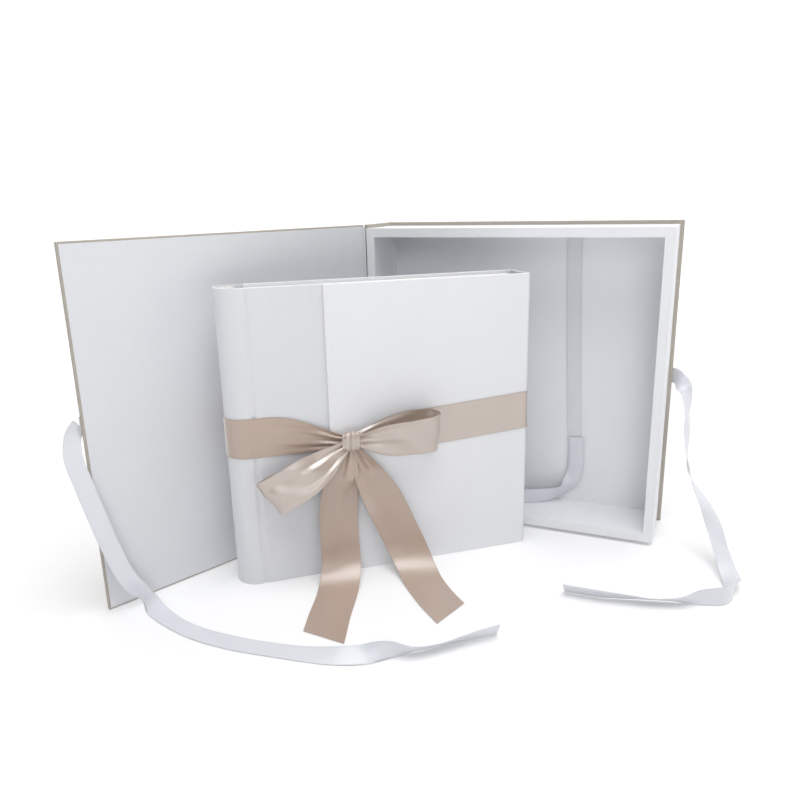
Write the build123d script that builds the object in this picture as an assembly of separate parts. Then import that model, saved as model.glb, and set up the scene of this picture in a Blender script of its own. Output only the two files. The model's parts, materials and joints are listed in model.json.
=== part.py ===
from build123d import *
from math import cos, pi, radians, sin
import os

# A wedding guest book that stands tied with a bow in front of its open, cloth-covered case.
# Millimetres. +Z is up and -Y is the front. The origin is the middle of the bottom edge of
# the case's back board, on the surface that the open case and the book stand on.

# ---- driving dimensions: the book ----
book_height = 286.0  # boards, head to tail
book_thickness = 38.0  # rear cover to front panel
groove_to_fore_edge = 274.5  # centre of the front groove to the outside of the fore-edge board
cover_board = 3.0
flap_board_thickness = 2.6
groove_half = 2.5  # half the width of the sunk joint beside the spine
spine_lip = 3.0  # flat edge of the spine shell beside the groove
groove_gap = 0.5  # between the groove's cloth and the front panel's edge
spine_shell_wall = 2.2
flap_start = 70.0  # groove to the free edge of the flap
panel_width = 87.0  # front panel, which runs on under the flap
page_height = 279.4
page_square = 8.6  # fore-edge board's outside to the leaves
section_count = 8
lining = 0.3  # paper pastedowns
soft_gap = 0.3  # between a soft piece and what it lies on
leaf_gap = 0.12  # between gatherings
headband_height = 2.2
headband_width = 2.4

# ---- driving dimensions: the case ----
tray_side_clearance = 1.0
tray_end_clearance = 9.0
bow_room = 20.5  # depth kept in the tray for the tied bow
tray_wall = 9.5
tray_base = 6.4
case_lining = 0.6
case_board = 3.5
board_square = 4.0  # case boards beyond the tray
lid_length = 328.0  # hinge line to the lid's free edge
lid_joint_gap = 2.5
lid_open_angle = 113.0  # from closed to the way it stands
lid_clearance = 0.4  # lid lining to the tray's rim when closed
lining_inset = 1.8

# ---- driving dimensions: ribbons ----
satin_width = 38.0
satin = 0.5
band_height = 129.5  # table to the band's lower edge
tie_width = 16.0
tie = 0.5
lift_width = 16.0

# ---- where the book stands ----
book_turn = 40.0
book_rear = (-204.626, -250.09)  # foot of the rear groove, which stays put if the book is thicker

# ---- worked out ----
spine_radius = book_thickness / 2
flap_gap = 0.4
turn = radians(book_turn)
book_place = (book_rear[0] + book_thickness * sin(turn), book_rear[1] - book_thickness * cos(turn))
flap_front = flap_gap + flap_board_thickness
book_width = groove_to_fore_edge + groove_half + spine_lip + spine_radius
tray_inner_width = book_width + 2 * tray_side_clearance
tray_inner_height = book_height + 2 * tray_end_clearance
tray_inner_depth = book_thickness + flap_front + bow_room
tray_width = tray_inner_width + 2 * tray_wall
tray_height = tray_inner_height + 2 * tray_wall
tray_depth = tray_inner_depth + case_lining + tray_base
board_height = tray_height + 2 * board_square
left = -tray_width / 2  # outside of the tray's left wall
rim = -tray_depth - case_board / 2  # front plane of the tray
tray_back = rim + tray_depth
tray_foot = board_square
hinge_x = left
hinge_y = rim - lid_clearance

nodes = {}


def add(name, shape):
    """Keeps one finished node under its name."""
    nodes[name] = shape
    return shape


def block(x0, x1, y0, y1, z0, z1):
    """A box between two corners."""
    return Pos((x0 + x1) / 2, (y0 + y1) / 2, (z0 + z1) / 2) * Box(x1 - x0, y1 - y0, z1 - z0)


def soft_block(x0, x1, y0, y1, z0, z1, edge):
    """A box whose edges are all eased, as cloth over board is."""
    body = block(x0, x1, y0, y1, z0, z1)
    return fillet(body.edges(), min(edge, 0.4 * (x1 - x0), 0.4 * (y1 - y0)))


def ring(centre, inner, outer, z0, z1, side):
    """Half a tube that stands upright, kept on the given side of its centre in X."""
    tube = Pos(*centre, (z0 + z1) / 2) * (Cylinder(outer, z1 - z0) - Cylinder(inner, z1 - z0))
    reach = 2 * outer
    near, far = sorted((centre[0], centre[0] + side * reach))
    return tube & block(near, far, centre[1] - reach, centre[1] + reach, z0, z1)


def strip(stations, thickness):
    """A flat strip of cloth through stations of (point, across, width), as one closed solid."""
    points = [Vector(*s[0]) for s in stations]
    rings = []
    last = len(points) - 1
    before = None
    for i, (_, across, width) in enumerate(stations):
        along = (points[min(i + 1, last)] - points[max(i - 1, 0)]).normalized()
        side = Vector(*across)
        side = (side - along * side.dot(along)).normalized()
        if before is not None and before.dot(along.cross(side)) < 0:
            side = -side
        before = along.cross(side).normalized()
        face = before * (thickness / 2)
        half = side * (width / 2)
        middle = points[i]
        rings.append([middle - half - face, middle + half - face,
                      middle + half + face, middle - half + face])
    faces = [polygon(rings[0][::-1]), polygon(rings[-1])]
    for first, second in zip(rings, rings[1:]):
        for j in range(4):
            k = (j + 1) % 4
            # Both broad sides are split along the same diagonal, so a twist keeps its thickness.
            ends = (first[k], second[j]) if j == 2 else (first[j], second[k])
            faces.append(polygon([first[j], first[k], ends[1]]))
            faces.append(polygon([ends[0], second[k], second[j]]))
    return Solid(Shell(faces))


def polygon(corners):
    """A flat face between corners."""
    return Face(Wire.make_polygon(corners, close=True))


# ---- the case: a tray glued to a spine board and a back board ----
def tray_walls():
    """Four walls, mitred where they meet, as the folded cloth shows on the rim."""
    x0, x1 = left, left + tray_width
    z0, z1 = tray_foot, tray_foot + tray_height
    w = tray_wall
    outlines = {
        "tray_wall_left": [(x0, z0), (x0 + w, z0 + w), (x0 + w, z1 - w), (x0, z1)],
        "tray_wall_right": [(x1, z0), (x1, z1), (x1 - w, z1 - w), (x1 - w, z0 + w)],
        "tray_wall_top": [(x0, z1), (x0 + w, z1 - w), (x1 - w, z1 - w), (x1, z1)],
        "tray_wall_bottom": [(x0, z0), (x1, z0), (x1 - w, z0 + w), (x0 + w, z0 + w)],
    }
    for name, outline in outlines.items():
        corners = [Vector(x, rim, z) for x, z in outline]
        add(name, extrude(polygon(corners), amount=tray_depth, dir=(0, 1, 0)))


def tray_floor():
    """The base board between the walls, with its cloth lining."""
    x0, x1 = left + tray_wall, left + tray_width - tray_wall
    z0, z1 = tray_foot + tray_wall, tray_foot + tray_height - tray_wall
    add("tray_base_board", block(x0, x1, tray_back - tray_base, tray_back, z0, z1))
    add("tray_base_lining", block(x0, x1, tray_back - tray_base - case_lining,
                                  tray_back - tray_base, z0, z1))


def case_boards():
    """Spine board and back board, glued to the tray's left wall and base."""
    right = left + tray_width + board_square
    add("spine_board", soft_block(left - case_board, left, rim + 3.0, tray_back, 0, board_height, 0.8))
    add("back_board", soft_block(left - case_board, right, tray_back, tray_back + case_board,
                                 0, board_height, 0.8))
    corner = (left - case_board - 0.45, tray_back + case_board + 0.45)
    middle = board_height / 2
    tall = board_height - 6.0
    add("back_joint_cloth", strip([
        ((corner[0], corner[1] - 22.0, middle), (0, 0, 1), tall),
        ((corner[0], corner[1] - 0.4, middle), (0, 0, 1), tall),
        ((corner[0] + 0.4, corner[1], middle), (0, 0, 1), tall),
        ((corner[0] + 22.0, corner[1], middle), (0, 0, 1), tall)], 0.4))


# ---- the lid, on a cloth joint at the tray's front left edge ----
def lid_at(along, behind):
    """A point in plan: along the open lid from its hinge line, and behind its lining's face."""
    turn = radians(lid_open_angle)
    x = hinge_x + along * cos(turn) - behind * sin(turn)
    y = hinge_y - along * sin(turn) - behind * cos(turn)
    return x, y


def lid_slab(along0, along1, behind0, behind1, z0, z1, edge):
    """A board on the lid, made closed and turned open about the hinge line."""
    slab = block(along0, along1, -behind1, -behind0, z0, z1)
    if edge:
        slab = fillet(slab.edges(), edge)
    return Pos(hinge_x, hinge_y, 0) * Rot(0, 0, -lid_open_angle) * slab


def lid():
    """Lid board, its white lining, and the two strips of its joint."""
    outer = case_lining + case_board
    add("lid_board", lid_slab(lid_joint_gap, lid_length, case_lining, outer, 0, board_height, 0.8))
    add("lid_lining", lid_slab(lid_joint_gap + lining_inset + 0.5, lid_length - lining_inset, 0,
                               case_lining, lining_inset, board_height - lining_inset, 0))
    add("hinge_lining", lid_slab(1.0, lid_joint_gap + lining_inset, 0, 0.4, lining_inset,
                                 board_height - lining_inset, 0))
    middle = board_height / 2
    tall = board_height - 6.0
    off = outer + soft_gap + 0.2
    outside = left - case_board - soft_gap - 0.2
    path = [(outside, rim + 24.0), (outside, rim + 2.0), (outside - 1.2, rim - 1.0),
            lid_at(lid_joint_gap + 2.0, off), lid_at(lid_joint_gap + 22.0, off)]
    add("hinge_cloth", strip([((x, y, middle), (0, 0, 1), tall) for x, y in path], 0.4))


# ---- ribbons of the case ----
tie_anchor_length = 26.0
tie_leaves_lid = 326.0
tie_height = 177.0


def lid_tie_stations():
    """The lid's white tie: out past the lid's free edge, down its inner side, along the table."""
    hung = [(334.0, 3.0, 173.0, (0.3, 0.0, 1.0)), (340.0, -2.0, 156.0, (1.0, 0.0, 0.35)),
            (337.0, -7.0, 130.0, (1.0, 0.0, 0.1)), (331.0, -10.0, 100.0, (1.0, 0.0, -0.2)),
            (322.0, -11.0, 62.0, (1.0, 0.0, -0.3)), (311.0, -13.0, 28.0, (1.0, 0.0, -0.4))]
    turn = radians(lid_open_angle)
    stations = []
    for along, behind, z, (a, b, c) in hung:
        across = (a * cos(turn) - b * sin(turn), -a * sin(turn) - b * cos(turn), c)
        stations.append(((*lid_at(along, behind), z), across, tie_width))
    laid = [(-264.0, -350.5, 8.2, (0.8, 0.1, 0.6)), (-246.0, -359.0, 3.2, (0.3, 0.8, 0.3)),
            (-219.0, -368.0, 1.2, (-0.2, 0.97, 0.05)), (-191.0, -374.0, 1.2, (-0.3, 0.95, 0.05)),
            (-155.0, -375.5, 1.6, (-0.2, 0.97, 0.1)), (-112.0, -371.0, 1.6, (-0.4, 0.9, 0.1)),
            (-83.0, -367.0, 2.4, (-0.4, 0.88, 0.2)), (-58.5, -362.5, 4.4, (-0.4, 0.8, 0.45)),
            (-39.0, -355.0, 5.6, (-0.4, 0.7, 0.6)), (-22.0, -346.5, 8.2, (-0.15, 0.1, 1.0)),
            (-4.0, -337.0, 7.0, (0.2, -0.6, 0.78)), (14.5, -321.0, 6.0, (0.3, -0.7, 0.65)),
            (28.5, -307.8, 6.6, (0.1, -0.7, 0.7)), (42.0, -296.5, 7.6, (0.0, -0.6, 0.78)),
            (54.5, -285.5, 7.8, (-0.2, -0.65, 0.72))]
    for x, y, z, across in laid:
        stations.append(((x, y, z), across, tie_width))
    return stations


def tray_tie_stations():
    """The back board's white tie: round the board's edge, down beside the tray, and back."""
    edge = left + tray_width + board_square
    behind = tray_back + case_board + soft_gap + 0.4
    route = [(edge - 24.0, behind, 169.0, (0.0, 0.0, 1.0)),
             (edge + 0.6, behind, 169.0, (0.0, 0.0, 1.0)),
             (edge + 4.0, behind - 2.6, 168.5, (0.0, 0.1, 1.0)), (173.5, -9.0, 165.0, (0.0, 0.5, 0.8)),
             (179.8, -19.0, 155.0, (0.1, 0.85, 0.5)), (182.4, -28.5, 139.0, (0.2, 0.95, 0.0)),
             (184.0, -36.0, 120.0, (0.3, 0.93, -0.2)), (185.6, -42.5, 101.0, (0.1, 0.96, -0.25)),
             (188.5, -50.0, 84.5, (-0.2, 0.95, -0.15)), (196.0, -58.5, 70.0, (0.1, 0.98, -0.1)),
             (207.0, -68.5, 55.0, (0.4, 0.9, 0.1)), (216.6, -80.5, 38.5, (0.75, 0.62, 0.2)),
             (224.7, -96.0, 21.5, (0.7, 0.7, 0.15)), (231.7, -113.0, 10.0, (0.7, 0.7, 0.2)),
             (236.5, -132.0, 6.0, (0.8, 0.3, 0.5)), (236.5, -149.0, 8.0, (0.1, 0.4, 0.9)),
             (228.5, -163.0, 8.4, (0.1, 0.45, 0.88)), (211.5, -172.0, 8.2, (0.1, 0.1, 1.0)),
             (192.0, -180.5, 6.6, (0.1, -0.7, 0.7)), (169.0, -187.0, 5.6, (0.0, -0.83, 0.55)),
             (143.5, -193.0, 6.6, (0.1, -0.7, 0.7)), (125.5, -196.5, 7.0, (0.1, -0.62, 0.77)),
             (108.5, -197.5, 7.0, (0.1, -0.6, 0.78)), (92.0, -197.5, 7.0, (0.1, -0.6, 0.78))]
    return [((x, y, z), across, tie_width) for x, y, z, across in route]


def lift_ribbon_stations():
    """The white lifting ribbon: down the tray's lining, along its foot, and doubled back."""
    face = tray_back - tray_base - case_lining - soft_gap - 0.4
    floor = tray_foot + tray_wall + lift_width / 2 + 0.6
    top = tray_foot + tray_height - tray_wall - 0.6
    route = [(56.6, face, top, (1, 0, 0)), (58.5, face, 250.0, (1, 0, 0)), (61.5, face, 180.0, (1, 0, 0)),
             (64.5, face, 110.0, (1, 0, 0)), (66.0, face, 62.0, (1, 0, 0.05)),
             (63.0, face - 1.0, 40.0, (1, 0, 0.4)), (52.0, face - 4.0, floor + 4.0, (0.6, 0, 1)),
             (36.0, face - 9.0, floor, (0.1, 0, 1)), (14.0, face - 16.0, floor, (0, 0, 1)),
             (-4.0, face - 22.0, floor, (0, 0, 1)), (-10.0, face - 28.0, floor, (0, 0, 1)),
             (-2.0, face - 33.0, floor, (0, 0, 1)), (16.0, face - 26.0, floor, (0, 0, 1)),
             (38.0, face - 16.0, floor + 1.0, (0.15, 0, 1)), (55.5, face - 8.0, floor + 7.0, (0.7, 0, 1)),
             (66.5, face - 4.0, 46.0, (1, 0, 0.4)), (69.0, face - 2.5, 68.0, (1, 0, 0.05)),
             (68.5, face - 2.0, 92.0, (1, 0, 0))]
    return [((x, y, z), across, lift_width) for x, y, z, across in route]


def case_ribbons():
    """The two ties that close the case, and the ribbon that lifts the book out."""
    off = case_lining + case_board + soft_gap + 0.3
    start, end = lid_at(tie_leaves_lid - tie_anchor_length, off), lid_at(tie_leaves_lid, off)
    add("lid_tie_anchor", strip([((*start, tie_height), (0, 0, 1), tie_width),
                                 ((*end, tie_height), (0, 0, 1), tie_width)], tie))
    add("lid_tie", strip([((*lid_at(tie_leaves_lid + 3.0, off), tie_height), (0, 0, 1), tie_width)]
                         + lid_tie_stations(), tie))
    add("tray_tie", strip(tray_tie_stations(), tie))
    add("lift_ribbon", strip(lift_ribbon_stations(), tie))


# ---- the book, modelled square to its own front groove: +X to the fore edge, -Y to the front ----
spine_centre = (-groove_half - spine_lip, spine_radius)
fore_edge = groove_to_fore_edge - 0.6  # outside of the boards under the joint cloth
rear_front = book_thickness - cover_board  # inner face of the rear cover
block_front = cover_board + 1.3
block_rear = rear_front - lining - 0.4
page_foot = (book_height - page_height) / 2
page_end = groove_to_fore_edge - page_square


def covers():
    """Rear cover, rounded spine, fore-edge board, front panel and flap, with their linings."""
    z = (0, book_height)
    inset = 4.0
    add("rear_cover_board", soft_block(groove_half + groove_gap, fore_edge, rear_front, book_thickness,
                                       *z, 0.7))
    add("rear_pastedown", block(groove_half + inset, fore_edge - inset, rear_front - lining, rear_front,
                                inset, book_height - inset))
    add("spine_shell", ring(spine_centre, spine_radius - spine_shell_wall, spine_radius, *z, -1)
        + block(spine_centre[0], -groove_half, 0, spine_shell_wall, *z)
        + block(spine_centre[0], -groove_half, book_thickness - spine_shell_wall, book_thickness, *z))
    add("fore_edge_board", soft_block(fore_edge - cover_board, fore_edge, 0.2, rear_front - 0.6, *z, 0.7))
    add("fore_edge_lining", block(fore_edge - cover_board - lining, fore_edge - cover_board,
                                  inset, rear_front - inset, inset, book_height - inset))
    add("front_panel_board", soft_block(groove_half + groove_gap, panel_width, 0, cover_board, *z, 0.7))
    add("front_panel_lining", block(groove_half + inset, panel_width - inset, cover_board,
                                    cover_board + lining, inset, book_height - inset))
    add("flap_board", soft_block(flap_start, fore_edge, -flap_front, -flap_gap, *z, 0.7))
    add("flap_lining", block(panel_width + inset, fore_edge - cover_board - inset, -flap_gap,
                             -flap_gap + lining, inset, book_height - inset))


def joint_cloths():
    """The cloth joints: front and rear grooves, and the two corners of the fore edge."""
    middle, tall = book_height / 2, book_height - 1.0
    for name, y in (("front_groove_cloth", 1.6), ("rear_groove_cloth", book_thickness - 1.6)):
        add(name, block(-groove_half + 0.2, groove_half + groove_gap - 0.2, y - 0.3, y + 0.3,
                        0.5, book_height - 0.5))
    outside = fore_edge + 0.25
    add("flap_joint_cloth", strip([((outside, -2.0, middle), (0, 0, 1), tall),
                                   ((outside, 9.0, middle), (0, 0, 1), tall)], 0.3))
    add("fore_edge_rear_cloth", strip([((outside, rear_front - 9.0, middle), (0, 0, 1), tall),
                                       ((outside, rear_front + 2.0, middle), (0, 0, 1), tall)], 0.3))


def pages():
    """The leaves in sewn gatherings with a rounded back, their lining, headbands and endpapers."""
    z0, z1 = page_foot, page_foot + page_height
    back_radius = spine_radius - spine_shell_wall - 0.9
    rounded = Pos(*spine_centre, (z0 + z1) / 2) * Cylinder(back_radius, page_height)
    body = rounded + block(spine_centre[0], page_end, block_front, block_rear, z0, z1)
    share = (block_rear - block_front) / section_count
    for i in range(section_count):
        y0 = block_front + i * share
        cut = block(-2 * spine_radius, page_end + 1, y0, y0 + share - leaf_gap, z0, z1)
        add(f"leaf_gathering_{i + 1}", body & cut)
    add("spine_lining", ring(spine_centre, back_radius + 0.1, back_radius + 0.6, z0 + 8, z1 - 8, -1))
    for name, low in (("headband_foot", z0 - headband_height - 0.05), ("headband_head", z1 + 0.05)):
        add(name, ring(spine_centre, back_radius - headband_width, back_radius, low,
                       low + headband_height, -1))
    add("front_endpaper", block(4.0, page_end, block_front - 0.35, block_front - 0.1, z0, z1))
    add("rear_endpaper", block(4.0, page_end, block_rear + 0.02, block_rear + 0.22, z0, z1))


# ---- the champagne satin band and its bow ----
band_middle = band_height + satin_width / 2
band_off = soft_gap + satin / 2  # ribbon's middle above what it lies on
knot_centre = (88.5, -flap_front - 7.5, 138.0)
knot_size = (16.0, 11.0, 21.0)


def band():
    """The band round the book, split where the flap and the front panel open."""
    z = (band_height, band_height + satin_width)
    outside = fore_edge + 0.4 + soft_gap
    rear = book_thickness + soft_gap
    add("band_rear", block(groove_half, outside + satin, rear, rear + satin, *z))
    add("band_fore_edge", block(outside, outside + satin, 1.6, rear, *z))
    add("band_spine", ring(spine_centre, spine_radius + soft_gap, spine_radius + soft_gap + satin, *z, -1)
        + block(spine_centre[0], groove_half, rear, rear + satin, *z)
        + block(spine_centre[0], -groove_half - 0.4, -soft_gap - satin, -soft_gap, *z))
    add("band_groove", block(-groove_half - 0.3, groove_half + 0.4, -soft_gap - satin, -soft_gap, *z))
    level = (0, 0, 1)
    add("band_front_left", strip([
        ((groove_half + 0.5, -band_off, band_middle), level, satin_width),
        ((groove_half + 6.0, -band_off, band_middle), level, satin_width),
        ((24.0, -band_off, band_middle - 1.0), level, satin_width - 1),
        ((46.0, -band_off, band_middle - 4.5), level, satin_width - 8),
        ((flap_start - 3.0, -band_off, band_middle - 8.0), level, satin_width - 18)], satin))
    step = -flap_front - band_off
    add("band_gather_left", strip([
        ((flap_start + 1.0, step, band_middle - 8.5), level, satin_width - 20),
        ((knot_centre[0] - knot_size[0] / 2 - 0.4, step - 1.5, knot_centre[2]), level, 14.0)], satin))
    add("band_front_right", strip([
        ((knot_centre[0] + knot_size[0] / 2 + 0.4, step - 1.5, knot_centre[2]), level, 14.0),
        ((116.0, step, band_middle - 9.0), level, 26.0),
        ((145.0, step, band_middle - 8.0), level, satin_width),
        ((180.0, step, band_middle - 6.0), level, satin_width),
        ((fore_edge - 6.0, step, band_middle), level, satin_width),
        ((fore_edge, step, band_middle), level, satin_width)], satin))


def bow():
    """The knot, two loops and two tails, all on the flap."""
    x, y, z = knot_centre
    half_x, half_y, half_z = (size / 2 for size in knot_size)
    add("bow_knot", Pos(x, y, z) * fillet(Box(*knot_size).edges(), 3.5))
    face = -flap_front
    right, level = x + half_x + 0.4, (0, 0, 1)
    add("bow_loop_right", strip([
        ((right, y - 3.5, z + 2.0), level, 12.0), ((112.0, y - 12.0, z + 1.0), level, 24.0),
        ((134.0, y - 18.0, z), level, 35.0), ((158.0, y - 17.0, z - 0.5), level, satin_width),
        ((173.0, y - 9.0, z - 0.5), level, satin_width), ((177.0, y - 1.5, z), level, satin_width),
        ((171.0, y + 3.0, z + 2.0), level, satin_width), ((150.0, y + 3.6, z + 5.0), level, 36.0),
        ((124.0, y + 3.0, z + 6.0), level, 26.0), ((right, y + 2.0, z + 5.0), level, 12.0)], satin))
    left_side, slope = x - half_x - 3.4, (0.59, 0, -0.81)
    add("bow_loop_left", strip([
        ((left_side, y - 3.0, z - 3.0), (0.2, 0, -1), 10.0), ((64.0, y - 9.5, z - 14.0), slope, 26.0),
        ((42.0, y - 13.0, z - 27.0), slope, 36.0), ((22.0, y - 11.0, z - 39.0), slope, satin_width),
        ((9.0, y - 5.0, z - 46.5), slope, satin_width), ((5.5, y + 0.5, z - 48.5), slope, satin_width),
        ((10.0, y + 4.0, z - 45.0), slope, satin_width), ((30.0, y + 4.6, z - 32.0), slope, 34.0),
        ((56.0, y + 4.0, z - 16.0), slope, 22.0),
        ((left_side, y + 3.4, z - 3.0), (0.2, 0, -1), 10.0)], satin))
    below = z - half_z - 0.4
    add("bow_tail_left", strip([
        ((86.0, y - 1.5, below - 0.5), (1, 0, 0), 9.0), ((85.5, y - 1.8, below - 4.6), (1, 0, 0), 13.0),
        ((79.0, y - 3.0, 108.0), (1, 0, 0.05), 30.0),
        ((74.5, y + 1.0, 84.0), (1, 0, 0.05), satin_width),
        ((72.8, y + 2.0, 52.0), (1, 0, 0), satin_width),
        ((72.4, y, 29.0), (1, 0, 0), satin_width), ((71.8, y - 7.0, 12.0), (1, 0, 0), satin_width),
        ((67.5, face - 25.0, 3.2), (0.97, -0.2, 0), satin_width),
        ((60.5, face - 43.0, 0.9), (0.92, -0.4, 0), satin_width),
        ((50.5, face - 66.0, 0.8), (0.93, -0.37, 0), satin_width),
        ((43.0, face - 87.0, 0.8), (0.94, -0.34, 0), satin_width),
        ((35.5, face - 108.0, 0.8), (0.94, -0.34, 0), satin_width)], satin))
    add("bow_tail_right", strip([
        ((91.0, y + 1.6, below - 1.4), (0.9, 0, 0.4), 8.0),
        ((92.6, y + 2.6, below - 5.4), (0.9, 0, 0.4), 12.0),
        ((104.0, y + 2.0, 102.0), (0.92, 0, 0.4), 28.0),
        ((118.0, y - 1.0, 74.0), (0.9, 0, 0.42), satin_width),
        ((131.0, y - 1.0, 46.0), (0.92, 0, 0.38), satin_width),
        ((139.5, y - 4.0, 25.0), (0.95, 0, 0.3), satin_width),
        ((143.5, y - 12.0, 11.0), (1, 0, 0.1), satin_width),
        ((145.0, face - 33.0, 3.0), (1, 0, 0), satin_width),
        ((145.0, face - 55.0, 0.9), (1, 0.05, 0), satin_width),
        ((146.5, face - 80.0, 0.8), (0.97, 0.1, 0), satin_width),
        ((150.5, face - 108.0, 0.8), (0.96, 0.15, 0), satin_width)], satin))


def book():
    """The book's own nodes, turned and set down where it stands."""
    before = set(nodes)
    for make in (covers, joint_cloths, pages, band, bow):
        make()
    place = Pos(*book_place, 0) * Rot(0, 0, book_turn)
    for name in set(nodes) - before:
        nodes[name] = place * nodes[name]


def main():
    """Builds every node and writes each to its own STEP file."""
    for make in (tray_walls, tray_floor, case_boards, lid, case_ribbons, book):
        make()
    os.makedirs("parts", exist_ok=True)
    for name, shape in nodes.items():
        export_step(shape, f"parts/{name}.step")
    print(f"{len(nodes)} nodes, tray {tray_width:.1f} x {tray_height:.1f} x {tray_depth:.1f}")


main()
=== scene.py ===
# %% [markdown]
# # A wedding guest book, its bow and its case
# The book stands tied in front of an open case covered in cloth. The boards, the leaves and the
# tray are solid pieces of the CAD frame, which is in metres with +Z up. Everything soft is made
# here and laid on that frame. A cloth simulation could drape it, but its folds fall where they
# please, so here each fold is put in its place.

# %% The frame and the tools
import json
import math

import bpy
import numpy as np
from mathutils import Matrix, Vector


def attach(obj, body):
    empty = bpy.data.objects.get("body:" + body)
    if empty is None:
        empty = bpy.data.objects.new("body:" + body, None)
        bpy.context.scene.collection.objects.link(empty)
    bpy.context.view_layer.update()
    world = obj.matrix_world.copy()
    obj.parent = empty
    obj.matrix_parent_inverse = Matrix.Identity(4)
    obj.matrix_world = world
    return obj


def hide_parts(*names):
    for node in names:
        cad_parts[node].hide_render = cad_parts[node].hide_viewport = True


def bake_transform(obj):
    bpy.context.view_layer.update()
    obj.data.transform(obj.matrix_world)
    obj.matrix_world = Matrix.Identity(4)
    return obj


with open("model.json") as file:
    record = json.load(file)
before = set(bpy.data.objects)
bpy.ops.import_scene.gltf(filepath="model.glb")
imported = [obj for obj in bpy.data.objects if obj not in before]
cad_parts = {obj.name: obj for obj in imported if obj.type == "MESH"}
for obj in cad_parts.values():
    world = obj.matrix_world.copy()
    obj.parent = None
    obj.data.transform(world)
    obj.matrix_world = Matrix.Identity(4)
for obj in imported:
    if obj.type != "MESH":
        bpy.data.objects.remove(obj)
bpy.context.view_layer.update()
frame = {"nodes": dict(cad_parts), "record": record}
nodes = frame["nodes"]
MM = 1000  # millimetres in a metre
UPRIGHT = (0, 0, 1)

# %% [markdown]
# ## The camera
# A camera could be aimed at a point, but then its roll is lost. It is placed here by where it
# stands and by how far it is turned, tipped and rolled. A lens near 32 mm gives the strong
# perspective of somebody who stands close to a table-top object.

# %% The camera
STAND = Vector((0.19304, -0.80317, 0.35908))
YAW, PITCH, ROLL = (math.radians(a) for a in (-23.394, 15.703, -1.305))
FILM, LENS = 36.0, 32.434  # millimetres
ahead = Vector((math.sin(YAW) * math.cos(PITCH), math.cos(YAW) * math.cos(PITCH), -math.sin(PITCH)))
level_right = Vector((math.cos(YAW), -math.sin(YAW), 0))
level_up = level_right.cross(ahead)
right = level_right * math.cos(ROLL) + level_up * math.sin(ROLL)
up = level_up * math.cos(ROLL) - level_right * math.sin(ROLL)
camera = bpy.data.objects.new("camera", bpy.data.cameras.new("camera"))
camera.data.sensor_width = FILM
camera.data.lens = LENS
axes = Matrix((right, up, -ahead)).transposed()
camera.matrix_world = Matrix.Translation(STAND) @ axes.to_4x4()
bpy.context.scene.collection.objects.link(camera)
bpy.context.scene.camera = camera
print("camera stands", [round(v, 3) for v in STAND])

# %% [markdown]
# ## Writing a finish as arithmetic
# A material is a net of nodes. Wiring it by hand hides the idea, so one small class stands for a
# socket and lets plain arithmetic add the Math nodes. One method adds every other kind of node.


# %% A socket that can be added and multiplied
class Thread:
    """One output socket inside a net of nodes."""

    def __init__(self, net, socket):
        self.net = net
        self.socket = socket

    def math(self, operation, *others):
        inputs = dict(enumerate((self, *others)))
        return self.net.node("ShaderNodeMath", {"operation": operation}, inputs)

    def __add__(self, other):
        return self.math("ADD", other)

    __radd__ = __add__

    def __mul__(self, other):
        return self.math("MULTIPLY", other)

    __rmul__ = __mul__

    def __sub__(self, other):
        return self.math("SUBTRACT", other)

    def __rsub__(self, other):
        return self.net.node("ShaderNodeMath", {"operation": "SUBTRACT"}, {0: other, 1: self})

    def wave(self):
        return self.math("SINE")


# %% A net of nodes
class Net:
    """A tree of nodes under construction."""

    def __init__(self, tree):
        self.tree = tree

    def node(self, kind, settings=None, values=None, out=0):
        """One node. Its settings go first, then the values or links of its sockets."""
        made = self.tree.nodes.new(kind)
        for name, value in (settings or {}).items():
            setattr(made, name, value)
        for name, value in (values or {}).items():
            if isinstance(value, Thread):
                self.tree.links.new(value.socket, made.inputs[name])
            else:
                made.inputs[name].default_value = value
        return Thread(self, made.outputs[out])

    def axes(self, vector):
        """The three numbers of a vector."""
        parts = self.node("ShaderNodeSeparateXYZ", {}, {"Vector": vector}).socket.node
        return [Thread(self, parts.outputs[i]) for i in range(3)]

    def noise(self, where, scale, detail=2.0, stretch=None):
        """Noise from 0 to 1. stretch gives its own number of cells in a metre to each axis."""
        if stretch:
            where = self.node("ShaderNodeVectorMath", {"operation": "MULTIPLY"},
                              {0: where, 1: stretch})
        settings = {"Vector": where, "Scale": scale, "Detail": detail}
        return self.node("ShaderNodeTexNoise", {}, settings)


# %% A finish: one material and its shader
class Finish(Net):
    """A material under construction."""

    def __init__(self, name, **shader):
        self.material = bpy.data.materials.new(name)
        self.material.use_nodes = True
        super().__init__(self.material.node_tree)
        self.shader = self.tree.nodes["Principled BSDF"]
        for socket, value in shader.items():
            self.shader.inputs[socket.replace("_", " ")].default_value = value

    def feed(self, socket, thread):
        self.tree.links.new(thread.socket, self.shader.inputs[socket])

    def squared_up(self, turn):
        """Places on a piece, turned by so many degrees until its walls lie along the axes."""
        where = self.node("ShaderNodeTexCoord", out="Object")
        return self.node("ShaderNodeVectorRotate", {"rotation_type": "Z_AXIS"},
                         {"Vector": where, "Angle": math.radians(-turn)})

    def blend(self, share, first, second):
        """A colour between two, where share goes from 0 to 1."""
        colours = {0: share, 6: (*first, 1), 7: (*second, 1)}
        return self.node("ShaderNodeMix", {"data_type": "RGBA"}, colours, out=2)

    def relief(self, height, depth, strength=1.0):
        """Bumps of a real depth in metres."""
        settings = {"Height": height, "Distance": depth, "Strength": strength}
        self.feed("Normal", self.node("ShaderNodeBump", {}, settings))


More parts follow.
